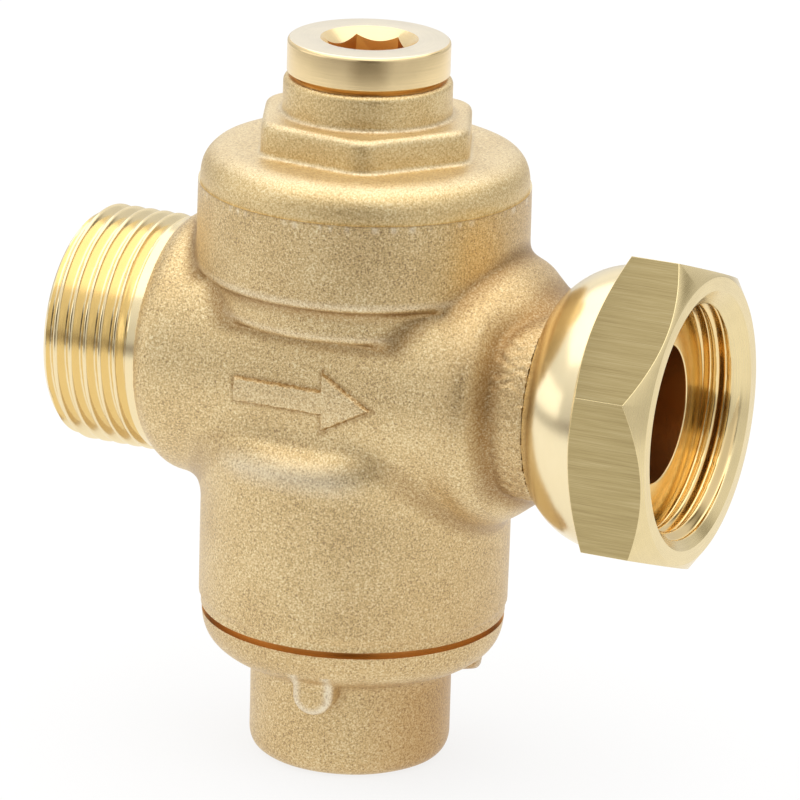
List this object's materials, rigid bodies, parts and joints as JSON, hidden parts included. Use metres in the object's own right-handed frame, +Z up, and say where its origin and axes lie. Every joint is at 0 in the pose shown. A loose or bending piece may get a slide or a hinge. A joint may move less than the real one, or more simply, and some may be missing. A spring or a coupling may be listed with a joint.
{
  "type": "water pressure regulator",
  "caption": "Brass water pressure regulator with a male threaded inlet, a hexagon swivel nut at the outlet, a keyed cover plug on top and a round boss below.",
  "frame": {"origin": "centre of the flat foot under the bottom cap, on the body's axis", "axes": "+X the way the water flows, from the threaded inlet to the swivel nut, +Z up along the body's axis"},
  "size_m": [0.0731, 0.0362, 0.0812],
  "materials": {
    "blasted_brass": "forged and blasted, fine grain",
    "turned_brass": "turned and milled, fine tool lines",
    "polished_brass": "polished, with milled flats",
    "steel": "plain stainless",
    "rubber": "smooth black"
  },
  "bodies": {
    "housing": {"body": "blasted_brass", "bottom_cap": "blasted_brass", "bottom_cap_oring": "rubber", "bonnet": "turned_brass", "bonnet_oring": "rubber", "seat_ring": "steel", "outlet_tailpiece": "turned_brass", "tailpiece_oring": "rubber", "main_spring": "steel"},
    "nut": {"union_nut": "polished_brass"},
    "plug_seal": {"top_plug_oring": "rubber"},
    "plug": {"top_plug": "turned_brass"},
    "spring_seat": {"spring_washer": "steel"},
    "adjuster": {"adjusting_nut": "turned_brass"},
    "valve": {"piston": "turned_brass", "piston_oring": "rubber", "gasket_washer": "steel", "valve_gasket": "rubber", "balance_piston": "turned_brass", "balance_oring": "rubber"}
  },
  "joints": [
    {"name": "nut_spin", "type": "hinge", "parent": "housing", "child": "nut", "pos_m": [0.033, 0, 0.0445], "axis": [1, 0, 0], "continuous": true},
    {"name": "plug_lift", "type": "slide", "parent": "housing", "child": "plug_seal", "axis": [0, 0, 1], "range_m": [0, 0.0056]},
    {"name": "plug_turn", "type": "hinge", "parent": "plug_seal", "child": "plug", "pos_m": [0, 0, 0.077], "axis": [0, 0, 1], "range_deg": [0, 2000]},
    {"name": "adjuster_slide", "type": "slide", "parent": "housing", "child": "spring_seat", "axis": [0, 0, 1], "range_m": [-0.0021, 0.00061]},
    {"name": "adjuster_turn", "type": "hinge", "parent": "spring_seat", "child": "adjuster", "pos_m": [0, 0, 0.069], "axis": [0, 0, 1], "range_deg": [-720, 216]},
    {"name": "valve_stroke", "type": "slide", "parent": "housing", "child": "valve", "axis": [0, 0, 1], "range_m": [0, 0.0023], "deforming": ["main_spring"]}
  ],
  "couplings": [
    {"joint": "plug_lift", "follows": "plug_turn", "m_per_rad": 0.00015915},
    {"joint": "adjuster_slide", "follows": "adjuster_turn", "m_per_rad": 0.00015915}
  ]
}
